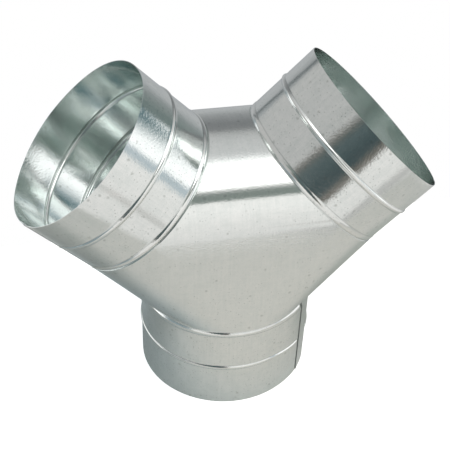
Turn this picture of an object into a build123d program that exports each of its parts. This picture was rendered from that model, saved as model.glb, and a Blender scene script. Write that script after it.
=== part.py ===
from build123d import *
import math
import os

# Y duct coupler in galvanised sheet: one trunk collar below, two branch collars above.
# Millimetres. The trunk rim stands on Z = 0, the front faces -Y and the branches spread along X.

# Sheet and fit
sheet = 0.7
slip = 0.05

# Collars, lengths taken from the mouth of the body
collar_radius = 100.0
trunk_length = 116.0
trunk_stop = 57.5
branch_length = 95.0
branch_stop = 50.5
spigot = 8.0

# Rolled beads: a narrow one that stops the duct, and a wider one at the joint with the body
bead_height = 1.45
stop_crest = 3.0
stop_foot = 2.4
joint_crest = 4.4
joint_foot = 3.4

# Lap seams, each with the edge of the outer layer open by a hairline
lap_width = 12.0
lap_joggle = 3.0
seam_gap = 0.4
trunk_seam = -38.0
branch_seam = 120.0

# Body
branch_angle = 45.0
saddle = 50.0

# The mouths of the body fit round the collars
mouth_radius = collar_radius + slip + sheet
rise = math.radians(branch_angle)
branch_reach = (saddle / 2 + mouth_radius * math.sin(rise)) / math.cos(rise)
trunk_reach = mouth_radius * math.tan((math.pi / 2 - rise) / 2)
fork = Vector(0, 0, trunk_length + trunk_reach)
trunk_way = Vector(0, 0, -1)
left_way = Vector(-math.cos(rise), 0, math.sin(rise))
right_way = Vector(math.cos(rise), 0, math.sin(rise))
trunk_mouth = fork + trunk_way * trunk_reach
left_mouth = fork + left_way * branch_reach
right_mouth = fork + right_way * branch_reach
across = Vector(0, 1, 0)

# A bead bends out of the wall, over its crest and back
stop_turn = math.degrees(math.acos(1 - bead_height / (stop_crest + stop_foot)))
stop_half = (stop_crest + stop_foot) * math.sin(math.radians(stop_turn))
joint_turn = math.degrees(math.acos(1 - bead_height / (joint_crest + joint_foot)))
joint_half = (joint_crest + joint_foot) * math.sin(math.radians(joint_turn))
joint_bead = slip + joint_half

# Angles that the seam takes up round a collar
gap_turn = math.degrees(seam_gap / collar_radius)
lap_turn = math.degrees(lap_width / collar_radius)
joggle_turn = math.degrees(lap_joggle / collar_radius)


def half_disc(centre, side, radius):
    """Half of a mouth, cut along Y, on the given side."""
    with BuildSketch(Plane(origin=centre, x_dir=side, z_dir=side.cross(across))) as half:
        with BuildLine():
            CenterArc((0, 0), radius, -90, 180)
            Line((0, radius), (0, -radius))
        make_face()
    return half.sketch


def fork_block(radius):
    """Flat-fronted block that runs straight between three round mouths of one radius."""
    left_top = across.cross(left_way)
    right_top = right_way.cross(across)
    with BuildPart() as block:
        with BuildSketch(Plane.XZ):
            with BuildLine():
                Polyline(*[(p.X, p.Z) for p in (trunk_mouth, right_mouth, left_mouth)], close=True)
            make_face()
        extrude(amount=radius, both=True)
        for start, start_side, end, end_side in (
            (left_mouth, left_top, right_mouth, right_top),
            (left_mouth, -left_top, trunk_mouth, Vector(-1, 0, 0)),
            (right_mouth, -right_top, trunk_mouth, Vector(1, 0, 0)),
        ):
            loft([half_disc(start, start_side, radius), half_disc(end, end_side, radius)], ruled=True)
    return block.part


def wall_line(length, stop, depth):
    """Edge of a collar's half section, at a depth under its outer face, from the spigot to the rim."""
    radius = collar_radius - depth
    start = Line((radius, -spigot), (radius, joint_bead - joint_half))
    out_1 = JernArc(start @ 1, start % 1, joint_foot + depth, -joint_turn)
    over_1 = JernArc(out_1 @ 1, out_1 % 1, joint_crest - depth, 2 * joint_turn)
    back_1 = JernArc(over_1 @ 1, over_1 % 1, joint_foot + depth, -joint_turn)
    middle = Line(back_1 @ 1, (radius, stop - stop_half))
    out_2 = JernArc(middle @ 1, middle % 1, stop_foot + depth, -stop_turn)
    over_2 = JernArc(out_2 @ 1, out_2 % 1, stop_crest - depth, 2 * stop_turn)
    back_2 = JernArc(over_2 @ 1, over_2 % 1, stop_foot + depth, -stop_turn)
    end = Line(back_2 @ 1, (radius, length))
    return start @ 0, end @ 1


def collar_section(plane, length, stop, outer, inner):
    """Half section of a beaded wall between two depths under the outer face of a collar."""
    with BuildSketch(plane) as section:
        with BuildLine():
            outer_tail, outer_rim = wall_line(length, stop, outer)
            inner_tail, inner_rim = wall_line(length, stop, inner)
            Line(outer_tail, inner_tail)
            Line(outer_rim, inner_rim)
        make_face()
    return section.sketch


def seam_plane(mouth, way, seam, turn):
    """Plane through a collar's axis, turned from its seam, with the radius as X and the way out as Y."""
    side = seam.rotate(Axis((0, 0, 0), way), turn)
    return Plane(origin=mouth, x_dir=side, z_dir=side.cross(way))


# Body, one folded sheet with three open mouths
with BuildPart() as y_body:
    add(fork_block(mouth_radius))
    add(fork_block(mouth_radius - sheet), mode=Mode.SUBTRACT)

# Trunk collar, its seam on the front to the right
trunk_side = Vector(math.cos(math.radians(trunk_seam)), math.sin(math.radians(trunk_seam)), 0)
trunk_start = seam_plane(trunk_mouth, trunk_way, trunk_side, gap_turn / 2)
trunk_lap = seam_plane(trunk_mouth, trunk_way, trunk_side, -lap_turn)
trunk_axis = Axis(trunk_mouth, trunk_way)
with BuildPart() as trunk_collar:
    add(collar_section(trunk_start, trunk_length, trunk_stop, 0, sheet))
    revolve(axis=trunk_axis, revolution_arc=360 - gap_turn)
    add(collar_section(trunk_lap, trunk_length, trunk_stop, sheet, 2 * sheet))
    revolve(axis=trunk_axis, revolution_arc=lap_turn + joggle_turn)

# Left branch collar, its seam underneath, turned from the back
left_low = left_way.cross(across)
left_seam = across * math.cos(math.radians(branch_seam)) + left_low * math.sin(math.radians(branch_seam))
left_start = seam_plane(left_mouth, left_way, left_seam, gap_turn / 2)
left_lap = seam_plane(left_mouth, left_way, left_seam, -lap_turn)
left_axis = Axis(left_mouth, left_way)
with BuildPart() as left_collar:
    add(collar_section(left_start, branch_length, branch_stop, 0, sheet))
    revolve(axis=left_axis, revolution_arc=360 - gap_turn)
    add(collar_section(left_lap, branch_length, branch_stop, sheet, 2 * sheet))
    revolve(axis=left_axis, revolution_arc=lap_turn + joggle_turn)

# Right branch collar, the other hand of the left one
with BuildPart() as right_collar:
    mirror(left_collar.part, about=Plane.YZ)

os.makedirs("parts", exist_ok=True)
y_body.part.label = "y_body"
trunk_collar.part.label = "trunk_collar"
left_collar.part.label = "left_collar"
right_collar.part.label = "right_collar"
export_step(y_body.part, "parts/y_body.step")
export_step(trunk_collar.part, "parts/trunk_collar.step")
export_step(left_collar.part, "parts/left_collar.step")
export_step(right_collar.part, "parts/right_collar.step")
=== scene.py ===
"""Y duct coupler in galvanised sheet: looks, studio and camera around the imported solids."""
import math

import bmesh
import bpy
import numpy as np
from mathutils import Matrix, Vector


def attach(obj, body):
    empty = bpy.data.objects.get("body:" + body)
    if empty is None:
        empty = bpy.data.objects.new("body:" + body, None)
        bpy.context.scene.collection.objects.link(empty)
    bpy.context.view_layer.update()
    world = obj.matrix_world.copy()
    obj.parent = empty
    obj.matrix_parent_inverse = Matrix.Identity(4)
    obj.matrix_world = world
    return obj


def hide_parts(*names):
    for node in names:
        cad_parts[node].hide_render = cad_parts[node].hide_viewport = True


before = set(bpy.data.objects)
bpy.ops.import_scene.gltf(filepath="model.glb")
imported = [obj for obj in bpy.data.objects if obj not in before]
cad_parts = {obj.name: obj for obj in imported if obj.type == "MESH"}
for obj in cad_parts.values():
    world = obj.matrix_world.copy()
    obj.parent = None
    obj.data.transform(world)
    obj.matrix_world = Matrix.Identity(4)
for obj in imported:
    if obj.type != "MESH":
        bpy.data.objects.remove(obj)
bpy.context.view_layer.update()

# Sizes in metres, as in the solids
SHEET = 0.0007
SLIP = 0.00005
RADIUS = 0.1
TRUNK_LENGTH = 0.116
TRUNK_STOP = 0.0575
BRANCH_LENGTH = 0.095
BRANCH_STOP = 0.0505
SPIGOT = 0.008
BEAD_HEIGHT = 0.00145
STOP_CREST = 0.003
STOP_FOOT = 0.0024
JOINT_CREST = 0.0044
JOINT_FOOT = 0.0034
LAP_WIDTH = 0.012
LAP_JOGGLE = 0.003
SEAM_GAP = 0.0004
TRUNK_SEAM = math.radians(-38)
BRANCH_SEAM = math.radians(120)
RISE = math.radians(45)
SADDLE = 0.05

# Welds, sprung edges and painted shade of the lap seams, waves of the rolled sheet, painted shade in the
# feet of beads
WELD_RADIUS = 0.0024
WELD_DEPTH = 0.0003
WELD_PITCH = 0.017
WELD_OFFSET = 0.0055
LIP_RISE = 0.0006
LIP_SINK = 0.0003
LIP_WIDTH = 0.009
WAVE = 0.0001
# Painted shade: a dark line along each seam's gap, a dark dot where the seam meets the rim, dark lines in
# the feet of the beads
SEAM_SHADE = 0.0009
CORNER_SHADE = 0.0022
FOOT_SHADE = 0.25

# The beads run out on each side of a seam, and the trunk's sheet stands out a little behind its seam
BEAD_END = (0.0015, 0.007)
BEAD_START = (0.012, 0.02)
SPRING = 0.003
SPRING_ARC = -0.03
SPRING_SPREAD = 0.075
SPRING_RUN = 0.012

# The trunk's joint bead rises in a straight flank, longest at the seam, and its stop bead droops there
JOINT_FLANK = 0.0042
JOINT_SPREAD = 0.0008
FLANK_RUN = (0.02, 0.1)
FLANK_STRAIGHT = 0.85
JOINT_WIDEN = 0.5
STOP_DROOP = 0.0045
DROOP_RUN = 0.06

# Left mouth knocked out of round from the stop bead to the rim, by turns from the back towards below
DENT = 0.003
DENT_TURN = math.radians(56)
DENT_SPREAD = math.radians(45)
BULGE = 0.003
BULGE_TURN = math.radians(-35)
BULGE_SPREAD = math.radians(45)
KNOCK_CURVE = 1.5

# The right collar's joint bead is pressed down to this share of its height
RIGHT_PRESS = 0.35

# Fineness of the meshes
WALL_STEP = 0.0015
SEAM_STEP = 0.0006
HALF_GIRTH_STEPS = 113
LAP_STEPS = 26
ARC_STEPS = 97
SIDE_STEPS = 48

# Colours of the zinc, with a teal painted shade for the inner faces and a dark painted shade for seams and
# bead feet, and how far its relief stands out
BRIGHT_ZINC = (0.875, 0.9, 0.885, 1)
DULL_ZINC = (0.78, 0.82, 0.805, 1)
# Inner faces: painted teal shade that stands for the light reflected to and fro inside the collars
INSIDE_SHADE_ZINC = (0.842, 0.886, 0.871, 1)
SPECK_ZINC = (0.34, 0.37, 0.345, 1)
SPOT_ZINC = (0.4, 0.43, 0.4, 1)
RUBBED_ZINC = (0.9, 0.91, 0.89, 1)
# Dark painted shade for seam gaps, the seam's rim corner and bead feet
PAINTED_SHADE_ZINC = (0.1, 0.12, 0.115, 1)
RELIEF = 0.00008

MOUTH = RADIUS + SLIP + SHEET
BRANCH_REACH = (SADDLE / 2 + MOUTH * math.sin(RISE)) / math.cos(RISE)
TRUNK_REACH = MOUTH * math.tan((math.pi / 2 - RISE) / 2)
FORK = np.array([0, 0, TRUNK_LENGTH + TRUNK_REACH])
TRUNK_WAY = np.array([0, 0, -1.0])
LEFT_WAY = np.array([-math.cos(RISE), 0, math.sin(RISE)])
RIGHT_WAY = np.array([math.cos(RISE), 0, math.sin(RISE)])
TRUNK_MOUTH = FORK + TRUNK_WAY * TRUNK_REACH
LEFT_MOUTH = FORK + LEFT_WAY * BRANCH_REACH
RIGHT_MOUTH = FORK + RIGHT_WAY * BRANCH_REACH
ACROSS = np.array([0, 1.0, 0])
STOP_TURN = math.acos(1 - BEAD_HEIGHT / (STOP_CREST + STOP_FOOT))
STOP_HALF = (STOP_CREST + STOP_FOOT) * math.sin(STOP_TURN)
JOINT_TURN = math.acos(1 - BEAD_HEIGHT / (JOINT_CREST + JOINT_FOOT))
JOINT_HALF = (JOINT_CREST + JOINT_FOOT) * math.sin(JOINT_TURN)
JOINT_BEAD = SLIP + JOINT_HALF


class Tree:
    """Short calls for wiring nodes."""

    def __init__(self, tree):
        self.tree = tree

    def node(self, kind, **settings):
        made = self.tree.nodes.new(kind)
        for key, value in settings.items():
            setattr(made, key, value)
        return made

    def link(self, source, target):
        if hasattr(source, "is_linked"):
            self.tree.links.new(source, target)
        else:
            target.default_value = source

    def math(self, operation, first, second=0.0, clamp=False):
        made = self.node("ShaderNodeMath", operation=operation, use_clamp=clamp)
        self.link(first, made.inputs[0])
        self.link(second, made.inputs[1])
        return made.outputs[0]

    def step(self, value, low, high):
        """0 at low, 1 at high, smooth between them."""
        made = self.node("ShaderNodeMapRange", interpolation_type="SMOOTHSTEP")
        self.link(value, made.inputs["Value"])
        made.inputs["From Min"].default_value = low
        made.inputs["From Max"].default_value = high
        return made.outputs["Result"]

    def window(self, value, low, high, soft_low, soft_high):
        """1 between low and high, falling off over the given softness on each side."""
        rise = self.step(value, low - soft_low, low + soft_low)
        fall = self.step(value, high - soft_high, high + soft_high)
        return self.math("SUBTRACT", rise, fall, True)

    def mix(self, factor, first, second, blend="MIX"):
        made = self.node("ShaderNodeMix", data_type="RGBA", blend_type=blend)
        self.link(factor, made.inputs[0])
        self.link(first, made.inputs[6])
        self.link(second, made.inputs[7])
        return made.outputs[2]

    def noise(self, place, scale, detail, roughness=0.5):
        made = self.node("ShaderNodeTexNoise")
        self.link(place, made.inputs["Vector"])
        made.inputs["Scale"].default_value = scale
        made.inputs["Detail"].default_value = detail
        made.inputs["Roughness"].default_value = roughness
        return made.outputs["Fac"]

    def stretch(self, place, scale):
        made = self.node("ShaderNodeMapping")
        self.link(place, made.inputs["Vector"])
        made.inputs["Scale"].default_value = scale
        return made.outputs[0]

    def sum(self, *terms):
        """Weighted sum of (weight, value) pairs."""
        total = None
        for weight, value in terms:
            term = self.math("MULTIPLY", value, weight)
            total = term if total is None else self.math("ADD", total, term)
        return total


# Galvanised sheet

def galvanised(name, mottling, speckling):
    """Zinc-coated sheet with soft spangle, grain, streaks, specks and rubbed crests, painted shade in seam
    gaps, seam corners and bead feet, and a teal painted shade on the inner faces.
    """
    material = bpy.data.materials.new(name)
    material.use_nodes = True
    wires = Tree(material.node_tree)
    shader = material.node_tree.nodes["Principled BSDF"]
    place = wires.node("ShaderNodeTexCoord").outputs["Object"]
    sheet = wires.node("ShaderNodeUVMap", uv_map="sheet").outputs["UV"]
    rubbed = wires.node("ShaderNodeAttribute", attribute_name="rubbed").outputs["Fac"]
    # Attribute masks: rubbed wear, painted shade, and the inner faces that take a painted teal shade
    painted_shade = wires.node("ShaderNodeAttribute", attribute_name="painted_shade").outputs["Fac"]
    inside = wires.node("ShaderNodeAttribute", attribute_name="inside").outputs["Fac"]

    cloud = wires.noise(place, 70, 3, 0.6)
    blotch = wires.noise(place, 190, 3, 0.6)
    grain = wires.noise(place, 480, 2, 0.65)
    round_streak = wires.noise(wires.stretch(sheet, (25, 700, 1)), 1, 2)
    long_streak = wires.noise(wires.stretch(sheet, (450, 20, 1)), 1, 2)
    streak = wires.sum((0.4, round_streak), (0.6, long_streak))
    crowd = wires.noise(place, 25, 2)

    def specks(scale, rare, wide):
        """Dark dots with ragged edges, in crowds."""
        dots = wires.node("ShaderNodeTexVoronoi")
        wires.link(place, dots.inputs["Vector"])
        dots.inputs["Scale"].default_value = scale
        dot = wires.node("ShaderNodeSeparateColor")
        wires.link(dots.outputs["Color"], dot.inputs[0])
        chance = wires.sum((1.0, dot.outputs[0]), (0.9, crowd))
        chosen = wires.step(chance, rare - speckling, rare + 0.3 - speckling)
        near = wires.step(wires.sum((1.0, dots.outputs["Distance"]), (0.2, grain)), wide + 0.2, wide)
        return wires.math("MULTIPLY", chosen, near)

    speck = specks(340, 1.15, 0.18)
    spot = specks(95, 1.03, 0.13)

    tarnish = wires.sum((0.28, cloud), (0.27, blotch), (0.1, grain), (0.35, streak))
    dull = wires.step(tarnish, 0.42 - 0.05 / mottling, 0.58 + 0.05 / mottling)
    colour = wires.mix(dull, BRIGHT_ZINC, DULL_ZINC)
    # Inner faces take a painted teal shade
    colour = wires.mix(wires.math("MULTIPLY", inside, 0.8), colour, INSIDE_SHADE_ZINC)
    colour = wires.mix(wires.math("MULTIPLY", speck, 0.6), colour, SPECK_ZINC)
    colour = wires.mix(wires.math("MULTIPLY", spot, 0.5), colour, SPOT_ZINC)
    colour = wires.mix(wires.math("MULTIPLY", rubbed, 0.5), colour, RUBBED_ZINC)
    # Painted shade in seam gaps, seam corners and bead feet
    colour = wires.mix(wires.math("MULTIPLY", painted_shade, 0.85), colour, PAINTED_SHADE_ZINC)
    wires.link(colour, shader.inputs["Base Color"])
    shader.inputs["Metallic"].default_value = 1.0
    rough = wires.sum((0.07 * mottling, cloud), (0.04, streak), (0.04, grain), (0.06, speck), (0.06, spot),
                      (0.3, painted_shade))
    wires.link(wires.math("ADD", rough, 0.04), shader.inputs["Roughness"])
    height = wires.sum((0.5 * mottling, cloud), (0.3, blotch), (0.9, grain), (0.15, streak))
    bump = wires.node("ShaderNodeBump")
    bump.inputs["Strength"].default_value = 1.0
    bump.inputs["Distance"].default_value = RELIEF
    wires.link(height, bump.inputs["Height"])
    wires.link(bump.outputs[0], shader.inputs["Normal"])
    return material


# Pieces

def new_piece(name, verts, faces, sheet, wear_and_shade, node, material):
    """Mesh piece that stands for a solid, with its place on the flat sheet and its wear, painted shade and
    inner faces kept per point.
    """
    mesh = bpy.data.meshes.new(name)
    mesh.from_pydata([tuple(v) for v in verts], [], [tuple(int(i) for i in f) for f in faces])
    for label, values in wear_and_shade.items():
        mesh.attributes.new(label, "FLOAT", "POINT").data.foreach_set("value", values)
    corners = np.zeros(len(mesh.loops), int)
    mesh.loops.foreach_get("vertex_index", corners)
    mesh.uv_layers.new(name="sheet").data.foreach_set("uv", np.array(sheet, float)[corners].ravel())
    work = bmesh.new()
    work.from_mesh(mesh)
    bmesh.ops.remove_doubles(work, verts=work.verts, dist=1e-6)
    bmesh.ops.recalc_face_normals(work, faces=work.faces)
    work.to_mesh(mesh)
    work.free()
    mesh.shade_smooth()
    mesh.set_sharp_from_angle(angle=math.radians(40))
    mesh.materials.append(material)
    piece = bpy.data.objects.new(name, mesh)
    bpy.context.collection.objects.link(piece)
    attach(piece, "root")
    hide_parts(node)
    return piece


def grid_faces(rows, columns, start, flip):
    """Quads over a grid of points kept row by row."""
    faces = []
    for i in range(rows - 1):
        for j in range(columns - 1):
            a = start + i * columns + j
            quad = (a, a + 1, a + columns + 1, a + columns)
            faces.append(quad[::-1] if flip else quad)
    return faces


# Collars

def wall_line(length, stop, depth):
    """Points (radius, distance from the mouth, rub, painted shade) of a beaded wall under its outer face."""
    points = []
    radius = RADIUS - depth

    def run(low, high):
        count = max(2, round((high - low) / WALL_STEP))
        points.extend((radius, low + (high - low) * i / count, 0, 0) for i in range(count + 1))

    def bead(middle, half, full, crest, foot):
        for i in range(1, 7):
            turn = full * i / 6
            # Painted shade in the foot of the bead
            shade_weight = FOOT_SHADE * math.sin(math.pi * i / 7)
            along = middle - half + foot * math.sin(turn)
            points.append((radius + foot * (1 - math.cos(turn)), along, 0, shade_weight))
        for i in range(1, 15):
            turn = full * (1 - i / 7)
            height = radius + BEAD_HEIGHT - crest * (1 - math.cos(turn))
            points.append((height, middle - crest * math.sin(turn), math.cos(turn) ** 4, 0))
        for i in range(1, 6):
            turn = full * (1 - i / 6)
            # Painted shade in the foot of the bead
            shade_weight = FOOT_SHADE * math.sin(math.pi * i / 6)
            along = middle + half - foot * math.sin(turn)
            points.append((radius + foot * (1 - math.cos(turn)), along, 0, shade_weight))

    run(-SPIGOT, JOINT_BEAD - JOINT_HALF)
    bead(JOINT_BEAD, JOINT_HALF, JOINT_TURN, JOINT_CREST - depth, JOINT_FOOT + depth)
    run(JOINT_BEAD + JOINT_HALF, stop - STOP_HALF)
    bead(stop, STOP_HALF, STOP_TURN, STOP_CREST - depth, STOP_FOOT + depth)
    run(stop + STOP_HALF, length)
    points[-1] = (radius, length, 1, 0)
    return points


def weld_places(length, stop):
    """Distances from the mouth at which a lap seam is spot-welded, clear of the beads."""
    places = []
    for low, high in ((JOINT_BEAD + JOINT_HALF, stop - STOP_HALF), (stop + STOP_HALF, length)):
        count = max(2, round((high - low) / WELD_PITCH))
        places.extend(low + (high - low) * (i + 0.5) / count for i in range(count))
    return places


def swell(value, spread):
    """Smooth bump of height 1 at zero that ends at the spread."""
    return math.cos(math.pi / 2 * value / spread) ** 2 if abs(value) < spread else 0.0


def rise(value, low, high):
    """0 up to low, 1 from high, smooth between them."""
    share = min(1.0, max(0.0, (value - low) / (high - low)))
    return share * share * (3 - 2 * share)


def bead_share(arc):
    """How far a bead stands out at an arc from the seam, where it is pressed flat."""
    return rise(arc, *BEAD_END) if arc > 0 else rise(-arc, *BEAD_START)


def wave_sink(arc, along, phase):
    """Faint waves left by the rolling, inside the true cylinder."""
    angle = arc / RADIUS
    waves = math.sin(3 * angle + phase + 9 * along) + math.sin(7 * angle - 2 * phase - 14 * along)
    return WAVE * (2 + waves) / 4


def seam_sink(arc, along, welds):
    """Spot-weld dimples beside the seam, one edge sprung out and the other lying in."""
    depth = 0.0
    for weld in welds:
        away = math.hypot(arc + WELD_OFFSET, along - weld)
        depth += WELD_DEPTH * swell(away, WELD_RADIUS)
    if -LIP_WIDTH < arc < 0:
        depth -= LIP_RISE * (1 + arc / LIP_WIDTH) ** 2
    elif 0 < arc < LIP_WIDTH:
        depth += LIP_SINK * (1 - arc / LIP_WIDTH) ** 2
    return depth


def spring_sink(arc, along):
    """Rolled sheet that springs out of round behind the seam, clear of the body."""
    return -SPRING * swell(arc - SPRING_ARC, SPRING_SPREAD) * rise(along, 0, SPRING_RUN)


def trunk_drift(arc, along):
    """Where a point of the trunk's wall lies once its beads are spread and droop."""
    turn = TRUNK_SEAM - arc / RADIUS
    flank = JOINT_FLANK + JOINT_SPREAD * (1 - rise(arc, *FLANK_RUN) if arc > 0 else 0.0)
    if SLIP < along < SLIP + JOINT_HALF:
        share = (along - SLIP) / JOINT_HALF
        height = math.sin(math.pi / 2 * share) ** 2
        return SLIP + flank * (share + FLANK_STRAIGHT * (height - share))
    wide = flank + JOINT_HALF * (1 + JOINT_WIDEN * math.cos(turn) ** 2)
    droop = STOP_DROOP * (1 - rise(arc, 0, DROOP_RUN)) if arc > 0 else 0.0
    low, high = TRUNK_STOP - STOP_HALF, TRUNK_STOP + STOP_HALF
    knots = (-SPIGOT, SLIP, SLIP + JOINT_HALF, SLIP + 2 * JOINT_HALF, low, high, TRUNK_LENGTH)
    moved = (-SPIGOT, SLIP, SLIP + flank, SLIP + wide, low + droop, high + droop, TRUNK_LENGTH)
    return float(np.interp(along, knots, moved))


def no_drift(arc, along):
    """Leaves a point where its line has it."""
    return along


def mouth_sink(arc, along, length, stop):
    """Out-of-round mouth, growing from the stop bead to the rim."""
    reach = max(0.0, (along - stop) / (length - stop)) ** KNOCK_CURVE
    turn = (arc / RADIUS + BRANCH_SEAM + math.pi) % (2 * math.pi) - math.pi
    inward = DENT * swell(turn - DENT_TURN, DENT_SPREAD)
    outward = BULGE * swell(turn - BULGE_TURN, BULGE_SPREAD)
    return reach * (inward - outward)


def rolled_wall(mouth, way, side, up, lines, arcs, sink, drift, press):
    """Closed wall between two lines, swept over arc lengths about a collar's axis."""
    verts, sheet, rubbed, painted_shade, inside = [], [], [], [], []
    for layer, line in enumerate(lines):
        plain = line[0][0]
        for radius, place, rub, shade_weight in line:
            height = (radius - plain) * (press if place < 2 * JOINT_BEAD else 1.0)
            for arc in arcs:
                turn = arc / RADIUS
                near = arc if turn <= math.pi else arc - 2 * math.pi * RADIUS
                share = bead_share(near)
                along = drift(near, place)
                reach = plain + height * share - sink(near, along)
                verts.append(mouth + way * along + reach * (math.cos(turn) * side + math.sin(turn) * up))
                sheet.append((near, along))
                rubbed.append(rub * share)
                # Painted shade fades out with the bead towards the seam
                painted_shade.append(shade_weight * share)
                inside.append(float(layer))
    rows, columns = len(lines[0]), len(arcs)
    second = rows * columns
    faces = grid_faces(rows, columns, 0, True) + grid_faces(rows, columns, second, False)
    for j in range(columns - 1):
        low, high = j, second + j
        faces.append((low, low + 1, high + 1, high))
        low, high = (rows - 1) * columns + j, second + (rows - 1) * columns + j
        faces.append((high, high + 1, low + 1, low))
    for i in range(rows - 1):
        low, high = i * columns, second + i * columns
        faces.append((high, high + columns, low + columns, low))
        low, high = low + columns - 1, high + columns - 1
        faces.append((low, low + columns, high + columns, high))
    return verts, faces, sheet, rubbed, painted_shade, inside


def collar(name, mouth, way, side, up, length, stop, phase, out_of_round, drift, press, material):
    """Rolled, beaded collar with its spot-welded lap seam on the given side."""
    half = SEAM_GAP / 2
    girth = 2 * math.pi * RADIUS
    welds = weld_places(length, stop)
    outer, middle, inner = (wall_line(length, stop, depth) for depth in (0, SHEET, 2 * SHEET))

    def plain_sink(arc, along):
        return wave_sink(arc, along, phase) + out_of_round(arc, along)

    def wall_sink(arc, along):
        return plain_sink(arc, along) + seam_sink(arc, along, welds)

    fine = np.arange(half, BEAD_START[1], SEAM_STEP)
    coarse = np.linspace(BEAD_START[1], girth / 2, HALF_GIRTH_STEPS)
    near_half = np.concatenate([fine, coarse])
    arcs = np.concatenate([near_half, girth - near_half[-2::-1]])
    verts, faces, sheet, rubbed, painted_shade, inside = rolled_wall(
        mouth, way, side, up, (outer, middle), arcs, wall_sink, drift, press)
    under = np.linspace(-LAP_WIDTH, LAP_JOGGLE, LAP_STEPS)
    more = rolled_wall(mouth, way, side, up, (middle, inner), under, plain_sink, drift, press)
    faces += [[i + len(verts) for i in face] for face in more[1]]
    for i, (arc, along) in enumerate(sheet):
        # Painted shade: a dark line along the seam's gap and a dark dot where the seam meets the rim
        corner_shade = 1 - math.hypot(arc, along - length) / CORNER_SHADE
        painted_shade[i] = max(painted_shade[i], 1 - abs(arc) / SEAM_SHADE, corner_shade)
        for weld in welds:
            away = math.hypot(arc + WELD_OFFSET, along - weld)
            rubbed[i] = max(rubbed[i], swell(away, WELD_RADIUS))
    wear_and_shade = {"rubbed": rubbed + more[3], "painted_shade": painted_shade + more[4], "inside": inside + more[5]}
    return new_piece(name, verts + more[0], faces, sheet + more[2], wear_and_shade, name, material)


# Body

def half_ring(centre, side, radius, turns):
    """Points round half a mouth, on the given side."""
    return [centre + radius * (math.cos(t) * side + math.sin(t) * ACROSS) for t in turns]


def body_skin(radius, verts, faces):
    """Outer or inner skin of the fork: three ruled sides and two flat triangles."""
    left_top = np.cross(ACROSS, LEFT_WAY)
    right_top = np.cross(RIGHT_WAY, ACROSS)
    turns = np.linspace(-math.pi / 2, math.pi / 2, ARC_STEPS)
    steps = SIDE_STEPS
    sides = [
        (LEFT_MOUTH, left_top, RIGHT_MOUTH, right_top),
        (TRUNK_MOUTH, np.array([-1.0, 0, 0]), LEFT_MOUTH, -left_top),
        (RIGHT_MOUTH, -right_top, TRUNK_MOUTH, np.array([1.0, 0, 0])),
    ]
    for from_mouth, from_side, to_mouth, to_side in sides:
        first = half_ring(from_mouth, from_side, radius, turns)
        last = half_ring(to_mouth, to_side, radius, turns)
        start = len(verts)
        for i in range(steps + 1):
            verts.extend(a + (b - a) * i / steps for a, b in zip(first, last))
        faces.extend(grid_faces(steps + 1, len(turns), start, False))
    for way in (-1, 1):
        corners = [c + way * radius * ACROSS for c in (LEFT_MOUTH, RIGHT_MOUTH, TRUNK_MOUTH)]
        row_start = []
        for i in range(steps + 1):
            row_start.append(len(verts))
            a = corners[0] + (corners[2] - corners[0]) * i / steps
            b = corners[1] + (corners[2] - corners[1]) * i / steps
            count = steps - i
            verts.extend(a + (b - a) * (j / count if count else 0) for j in range(count + 1))
        for i in range(steps):
            for j in range(steps - i):
                a, c = row_start[i] + j, row_start[i + 1] + j
                faces.append((a, c, a + 1))
                if j < steps - i - 1:
                    faces.append((a + 1, c, c + 1))


def body(material):
    """Folded fork sheet with its three open mouths."""
    verts, faces = [], []
    body_skin(MOUTH, verts, faces)
    skin = len(verts)
    body_skin(MOUTH - SHEET, verts, faces)
    half = np.linspace(-math.pi / 2, math.pi / 2, ARC_STEPS)
    for centre, way in ((TRUNK_MOUTH, TRUNK_WAY), (LEFT_MOUTH, LEFT_WAY), (RIGHT_MOUTH, RIGHT_WAY)):
        for side in (np.cross(ACROSS, way), np.cross(way, ACROSS)):
            start = len(verts)
            for radius in (MOUTH, MOUTH - SHEET):
                verts.extend(half_ring(centre, side, radius, half))
            faces.extend(grid_faces(2, len(half), start, False))
    sheet = [(v[0], v[2]) for v in verts]
    plain = [0.0] * len(verts)
    inside = [1.0 if skin <= i < 2 * skin else 0.0 for i in range(len(verts))]
    wear_and_shade = {"rubbed": plain, "painted_shade": plain, "inside": inside}
    return new_piece("y_body_sheet", verts, faces, sheet, wear_and_shade, "y_body", material)


collar_metal = galvanised("galvanised_collar", 1.0, 0.25)
body(galvanised("galvanised_body", 0.6, 0.05))
trunk_side = np.array([math.cos(TRUNK_SEAM), math.sin(TRUNK_SEAM), 0])
trunk_up = np.cross(TRUNK_WAY, trunk_side)
left_low = np.cross(LEFT_WAY, ACROSS)
left_side = ACROSS * math.cos(BRANCH_SEAM) + left_low * math.sin(BRANCH_SEAM)
left_up = np.cross(LEFT_WAY, left_side)
other_hand = np.array([-1, 1, 1])
collar("trunk_collar", TRUNK_MOUTH, TRUNK_WAY, trunk_side, trunk_up, TRUNK_LENGTH, TRUNK_STOP, 0.4,
       spring_sink, trunk_drift, 1.0, collar_metal)
collar("left_collar", LEFT_MOUTH, LEFT_WAY, left_side, left_up, BRANCH_LENGTH, BRANCH_STOP, 1.7,
       lambda arc, along: mouth_sink(arc, along, BRANCH_LENGTH, BRANCH_STOP), no_drift, 1.0, collar_metal)
collar("right_collar", RIGHT_MOUTH, RIGHT_WAY, left_side * other_hand, left_up * other_hand,
       BRANCH_LENGTH, BRANCH_STOP, 3.1, lambda arc, along: 0.0, no_drift, RIGHT_PRESS, collar_metal)

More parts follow.
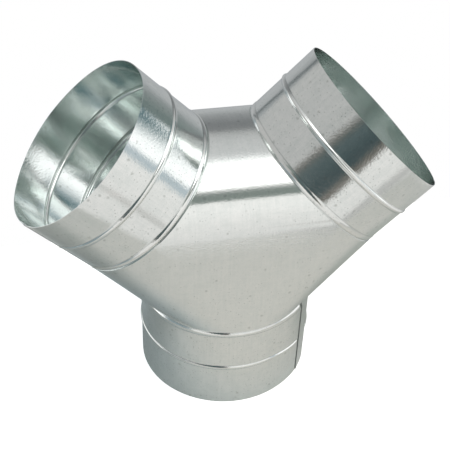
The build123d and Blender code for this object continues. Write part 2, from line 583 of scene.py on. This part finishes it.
# Camera
lens = bpy.data.cameras.new("camera")
lens.sensor_width = 36
lens.lens = 76.118
lens.shift_x = -0.01778
lens.shift_y = 0.04444
camera = bpy.data.objects.new("camera", lens)
bpy.context.collection.objects.link(camera)
right = Vector((0.975393, -0.217454, 0.036368))
back = Vector((-0.190674, -0.749185, 0.634322))
above = back.cross(right)
turned = Matrix((right, above, back)).transposed().to_4x4()
camera.matrix_world = Matrix.Translation((-0.20406, -0.83833, 0.86921)) @ turned
bpy.context.scene.camera = camera

# Light goes on bouncing between the walls inside the collars
bpy.context.scene.cycles.glossy_bounces = 12

# Floor, a pale table top, with a painted pool of light in front of the fork and painted shadows under and
# beside it
floor_mesh = bpy.data.meshes.new("floor")
FLOOR_CORNERS = [(-0.42, -0.395, 0), (0.42, -0.395, 0), (0.42, 0.24, 0), (-0.42, 0.24, 0)]
floor_mesh.from_pydata(FLOOR_CORNERS, [], [(0, 1, 2, 3)])
floor = bpy.data.objects.new("floor", floor_mesh)
bpy.context.collection.objects.link(floor)
paper = bpy.data.materials.new("paper")
paper.use_nodes = True
floor_mesh.materials.append(paper)
wires = Tree(paper.node_tree)
shader = paper.node_tree.nodes["Principled BSDF"]
place = wires.node("ShaderNodeTexCoord").outputs["Object"]


def distance_from(point):
    """How far a point of the table lies from this one."""
    away = wires.node("ShaderNodeVectorMath", operation="DISTANCE")
    wires.link(place, away.inputs[0])
    away.inputs[1].default_value = point
    return away.outputs["Value"]


# Painted pool of light, palest in front of the fork and greyer further out
pale = wires.mix(wires.step(distance_from((0.1, -0.18, 0)), 0.06, 0.5),
                 (0.825, 0.797, 0.755, 1), (0.65, 0.656, 0.638, 1))
# Painted shadow, cool-tinted, under and behind the fork
cool = wires.step(distance_from((-0.07, 0.07, 0)), 0.26, 0.1)
pale = wires.mix(wires.math("MULTIPLY", cool, 0.75), pale, (0.57, 0.66, 0.69, 1))
# Painted shadows under the two branches
for spot, colour in (((0.23, 0.06, 0), (0.49, 0.525, 0.49, 1)), ((-0.3, -0.01, 0), (0.44, 0.465, 0.447, 1))):
    shade = wires.step(distance_from(spot), 0.19, 0.07)
    pale = wires.mix(wires.math("MULTIPLY", shade, 0.7), pale, colour)
wires.link(pale, shader.inputs["Base Color"])
shader.inputs["Roughness"].default_value = 0.8
shader.inputs["Specular IOR Level"].default_value = 0.0
path = wires.node("ShaderNodeLightPath")
shader.inputs["Emission Color"].default_value = (1, 1, 1, 1)
wires.link(wires.math("MULTIPLY", path.outputs["Is Camera Ray"], 0.85), shader.inputs["Emission Strength"])

# Studio: a bright ceiling panel, a pale room and a few dark gaps for the metal to mirror
world = bpy.data.worlds.new("studio")
bpy.context.scene.world = world
world.use_nodes = True
wires = Tree(world.node_tree)
background = world.node_tree.nodes["Background"]
way = wires.node("ShaderNodeTexCoord").outputs["Generated"]
split = wires.node("ShaderNodeSeparateXYZ")
wires.link(way, split.inputs[0])
east, north, up = split.outputs
az = wires.math("DEGREES", wires.math("ARCTAN2", east, wires.math("MULTIPLY", north, -1.0)))
el = wires.math("DEGREES", wires.math("ARCSINE", up))
high = wires.math("MAXIMUM", up, 0.02)
lean = wires.math("DIVIDE", north, high)
sway = wires.math("DIVIDE", east, high)


def tone(value, warm=0.0):
    """Grey of this strength, turned towards warm or, below zero, cool."""
    return (value * (1 + warm), value, value * (1 - warm), 1)


def ramp(value, low, high, stops):
    """Colours that follow a value between low and high."""
    made = wires.node("ShaderNodeValToRGB")
    wires.link(wires.math("DIVIDE", wires.math("SUBTRACT", value, low), high - low), made.inputs[0])
    keys = made.color_ramp.elements
    while len(keys) < len(stops):
        keys.new(0.5)
    for key, (place, colour) in zip(keys, stops):
        key.position = (place - low) / (high - low)
        key.color = colour
    return made.outputs[0]


def overlap(first, *others):
    """Where all of these windows are open."""
    for other in others:
        first = wires.math("MULTIPLY", first, other)
    return first


def patch(under, colour, az_window, el_window):
    """Area of one colour, by its bearing and its height in degrees."""
    return wires.mix(overlap(wires.window(az, *az_window), wires.window(el, *el_window)), under, colour)


# Front and rear walls
front = ramp(el, -60, 90, [(-35, tone(0.775, 0.02)), (-14, tone(0.82, 0.02)), (0, tone(0.85, 0.02)),
                           (28, tone(0.97, 0.02)), (42, tone(0.95, 0.02)), (60, tone(0.58, 0.02))])
rear = ramp(el, -60, 90, [(-30, tone(0.385, -0.05)), (-12, tone(0.475, -0.02)), (-4, tone(0.475, -0.02)),
                          (3, tone(0.42, -0.02)), (10, tone(0.345, -0.02)), (28, tone(0.222, -0.03)),
                          (38, tone(0.245, -0.02)), (43, tone(0.45)), (50, tone(0.55)), (70, tone(0.65))])
behind = wires.step(wires.math("ABSOLUTE", az), 112, 130)
room = wires.mix(behind, front, rear)

# Left wall: cool and low, a bright stretch on it, grey above, and a dark upright
room = patch(room, (0.275, 0.33, 0.35, 1), (-150, -50, 6, 6), (-60, 14, 6, 5))
room = patch(room, tone(1.3), (-142, -86, 5, 5), (-26, 8, 6, 5))
room = patch(room, tone(0.51, 0.01), (-152, -38, 3, 4), (12, 65, 4, 6))
room = patch(room, (0.12, 0.14, 0.145, 1), (-159.7, -156, 0.8, 0.8), (0, 17, 6, 4))

# Two greyer strips low in front
room = patch(room, tone(0.53, 0.02), (19, 36, 3, 6), (-46, -32, 4, 2))
room = patch(room, tone(0.54, 0.03), (17, 27, 3, 3), (-23, -18.5, 1.5, 1.5))

# Dark opening in front to the left, with a brown frame
slant = wires.math("ADD", el, wires.math("MULTIPLY", az, 0.75))
brown = overlap(wires.window(slant, -19, 30, 3, 4), wires.window(az, -52, -4.8, 3, 0.6),
                wires.window(el, -13.5, 25.5, 1.5, 3.5))
room = wires.mix(brown, room, (0.15, 0.138, 0.12, 1))
dark = overlap(wires.window(slant, -16.5, 30, 1.5, 4), wires.window(az, -49, -11.5, 2, 2.5),
               wires.window(el, -9, 21.5, 3, 3))
tall = overlap(wires.window(slant, -4, 70, 2.5, 9), wires.window(az, -44, -9, 4, 3),
               wires.window(el, 2, 46, 4, 5))
mottle = wires.sum((0.6, wires.step(el, 3, 20)), (0.4, wires.step(wires.noise(way, 28, 2, 0.6), 0.38, 0.62)))
room = wires.mix(wires.math("MAXIMUM", dark, tall), room,
                 wires.mix(mottle, (0.042, 0.066, 0.072, 1), (0.105, 0.14, 0.145, 1)))

# Right wall: a bright window, teal above it, dark beyond it and a blue post before it
room = patch(room, tone(1.22), (61, 108, 3, 4), (-14, 40, 6, 6))
room = patch(room, (0.08, 0.16, 0.18, 1), (82, 120, 16, 6), (15.5, 40, 0.6, 5))
room = patch(room, (0.18, 0.223, 0.217, 1), (107, 132, 3, 17), (-3, 20, 8, 4))
room = patch(room, (0.48, 0.55, 0.59, 1), (52, 61, 2, 2), (-8, 30, 4, 4))

# Ceiling: a dark gap and the bright panel behind it
gap = overlap(wires.window(lean, -1.03, -0.6, 0.03, 0.08), wires.window(sway, -1.2, 1.6, 0.3, 0.3))
room = wires.mix(gap, room, (0.235, 0.268, 0.25, 1))
panel = overlap(wires.window(lean, -0.49, 0.14, 0.1, 0.2), wires.window(sway, -0.3, 1.4, 0.15, 0.3))
room = wires.mix(panel, room, tone(1.95, 0.01))
path = wires.node("ShaderNodeLightPath")
wires.link(wires.mix(path.outputs["Is Camera Ray"], room, (1, 1, 1, 1)), background.inputs["Color"])

bpy.context.scene.view_settings.view_transform = "Standard"
